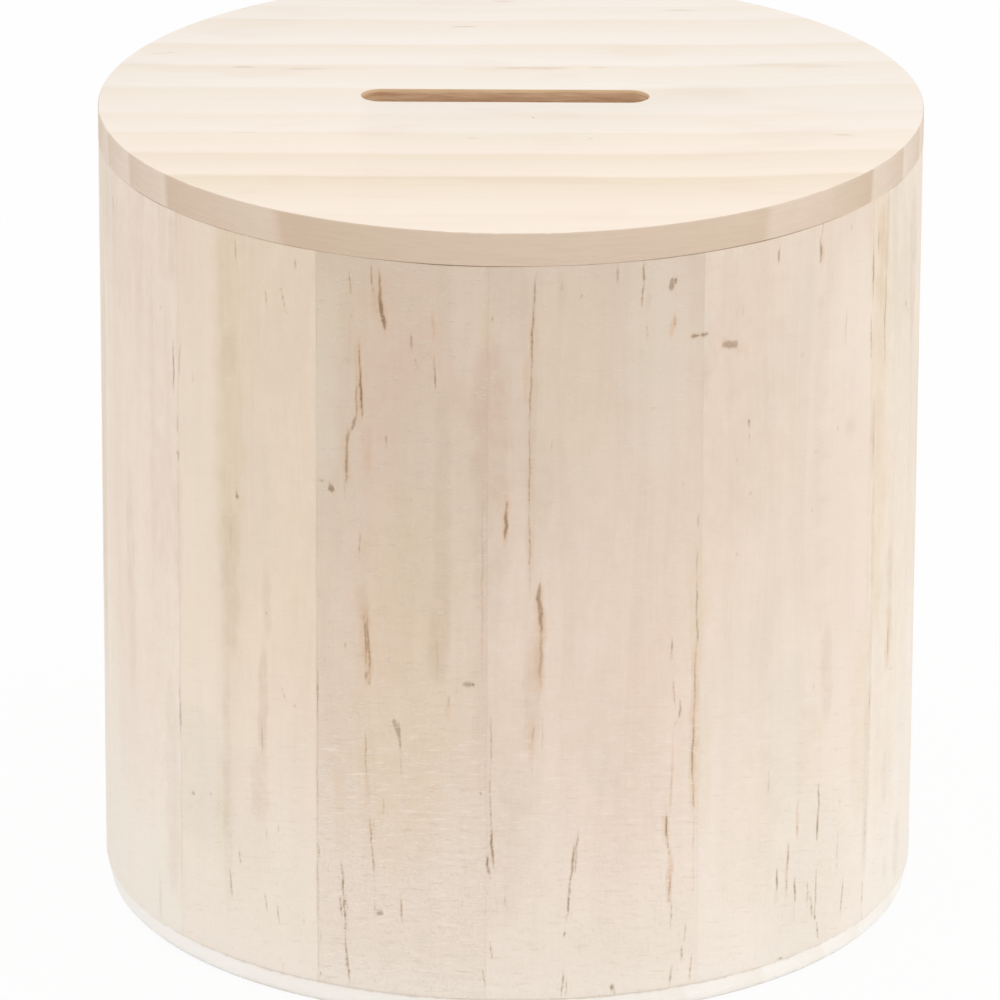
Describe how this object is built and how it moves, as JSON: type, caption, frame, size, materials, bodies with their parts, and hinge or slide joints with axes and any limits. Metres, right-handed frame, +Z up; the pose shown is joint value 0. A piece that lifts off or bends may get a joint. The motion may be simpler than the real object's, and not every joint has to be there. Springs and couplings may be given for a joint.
{
  "type": "money box",
  "caption": "Round wooden money box: a tall drum wall glued up from upright staves, on a thin base, with a flat lift-off lid that has a coin slot.",
  "frame": {"origin": "middle of the underside, on the axis of the round wall", "axes": "+Z up along the wall's axis, +X to the right along the coin slot, -Y towards the front"},
  "size_m": [0.1, 0.1, 0.1],
  "materials": {
    "stave_pine_cream": "bare sanded pine, matt, pale cream",
    "stave_pine_honey": "bare sanded pine, matt, yellowish",
    "stave_pine_pink": "bare sanded pine, matt, pinkish",
    "stave_pine_grey": "bare sanded pine, matt, greyish",
    "base_pine": "bare sanded pine, matt",
    "lid_pine": "bare sanded pine with straight growth rings, matt",
    "disc_pine": "bare sanded pine, matt"
  },
  "bodies": {
    "box": {"base_disc": "base_pine", "stave_01": "stave_pine_honey", "stave_02": "stave_pine_grey", "stave_03": "stave_pine_pink", "stave_04": "stave_pine_pink", "stave_05": "stave_pine_cream", "stave_06": "stave_pine_honey", "stave_07": "stave_pine_grey", "stave_08": "stave_pine_cream", "stave_09": "stave_pine_pink", "stave_10": "stave_pine_honey", "stave_11": "stave_pine_cream", "stave_12": "stave_pine_grey", "stave_13": "stave_pine_cream"},
    "lid": {"lid_board": "lid_pine", "lid_locating_disc": "disc_pine"}
  },
  "joints": [
    {"name": "lid_lift", "type": "slide", "parent": "box", "child": "lid", "axis": [0, 0, 1], "range_m": [0, 0.08]}
  ]
}
